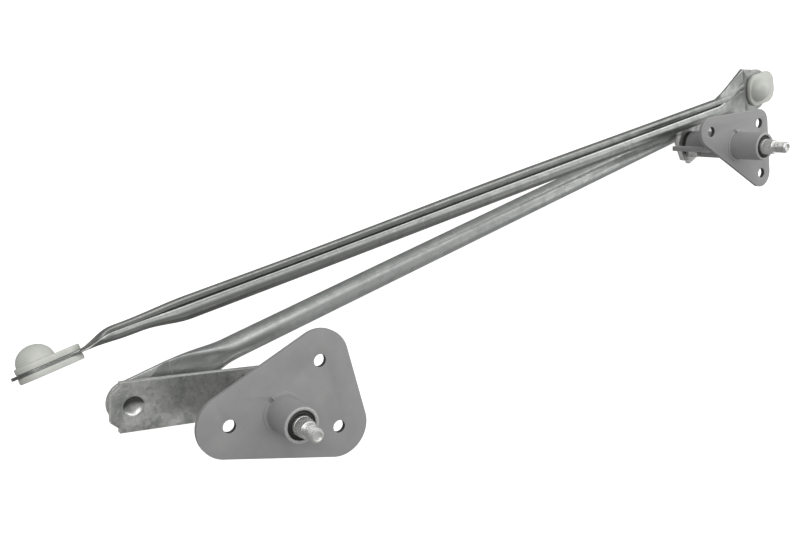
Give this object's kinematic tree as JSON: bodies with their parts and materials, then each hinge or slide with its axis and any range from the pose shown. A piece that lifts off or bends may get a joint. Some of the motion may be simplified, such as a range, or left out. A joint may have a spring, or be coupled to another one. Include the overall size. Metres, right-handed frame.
{
  "type": "wiper linkage",
  "caption": "Windscreen wiper linkage with flanged spindle bearings, levers, a flattened-tube tie rod and a rolled drive rod ending in a ball socket.",
  "frame": {"origin": "left spindle axis, on the front face of the left bearing plate", "axes": "+Z along the spindles towards their threads, +X from the left spindle to the right one"},
  "size_m": [0.746, 0.1574, 0.13],
  "materials": {
    "bracket_paint": "matte grey paint",
    "zinc_steel": "zinc plated, slightly mottled",
    "spindle_steel": "bright machined steel",
    "seal_rubber": "matte black",
    "black_polymer": "matte black",
    "bush_bronze": "sintered",
    "socket_nylon": "natural off-white nylon"
  },
  "bodies": {
    "left_bearing": {"left_plate": "bracket_paint", "left_tube": "bracket_paint", "left_ear": "bracket_paint", "left_ear_nut": "zinc_steel", "left_bush_front": "bush_bronze", "left_bush_rear": "bush_bronze", "left_seal": "seal_rubber"},
    "left_arm": {"left_spindle": "spindle_steel", "left_clip": "spindle_steel", "left_washer": "black_polymer", "left_lever": "zinc_steel"},
    "tie": {"tie_rod": "zinc_steel", "left_tie_socket": "socket_nylon", "right_tie_socket": "socket_nylon"},
    "right_arm": {"right_spindle": "spindle_steel", "right_clip": "spindle_steel", "right_washer": "black_polymer", "right_lever": "zinc_steel", "drive_stud": "spindle_steel"},
    "right_bearing": {"right_plate": "bracket_paint", "right_tube": "bracket_paint", "right_ear": "bracket_paint", "right_ear_nut": "zinc_steel", "right_bush_front": "bush_bronze", "right_bush_rear": "bush_bronze", "right_seal": "seal_rubber"},
    "drive": {"drive_rod": "zinc_steel", "drive_socket": "socket_nylon", "motor_socket": "socket_nylon"}
  },
  "joints": [
    {"name": "left_spindle_turn", "type": "hinge", "parent": "left_bearing", "child": "left_arm", "pos_m": [0, 0, 0], "axis": [0, 0, 1], "range_deg": [-45, 45]},
    {"name": "left_ball_turn", "type": "hinge", "parent": "left_arm", "child": "tie", "pos_m": [-0.07677, 0.03259, 0], "axis": [0, 0, 1], "range_deg": [-15, 45]},
    {"name": "right_ball_turn", "type": "hinge", "parent": "tie", "child": "right_arm", "pos_m": [0.57312, 0.00696, 0], "axis": [0, 0, 1], "range_deg": [-60, 0]},
    {"name": "right_spindle_turn", "type": "hinge", "parent": "right_arm", "child": "right_bearing", "pos_m": [0.49, 0, 0], "axis": [0, 0, 1], "range_deg": [-15, 75]},
    {"name": "drive_ball_turn", "type": "hinge", "parent": "right_arm", "child": "drive", "pos_m": [0.58495, 0.02106, 0], "axis": [0, 0, 1], "range_deg": [-60, 0]}
  ]
}
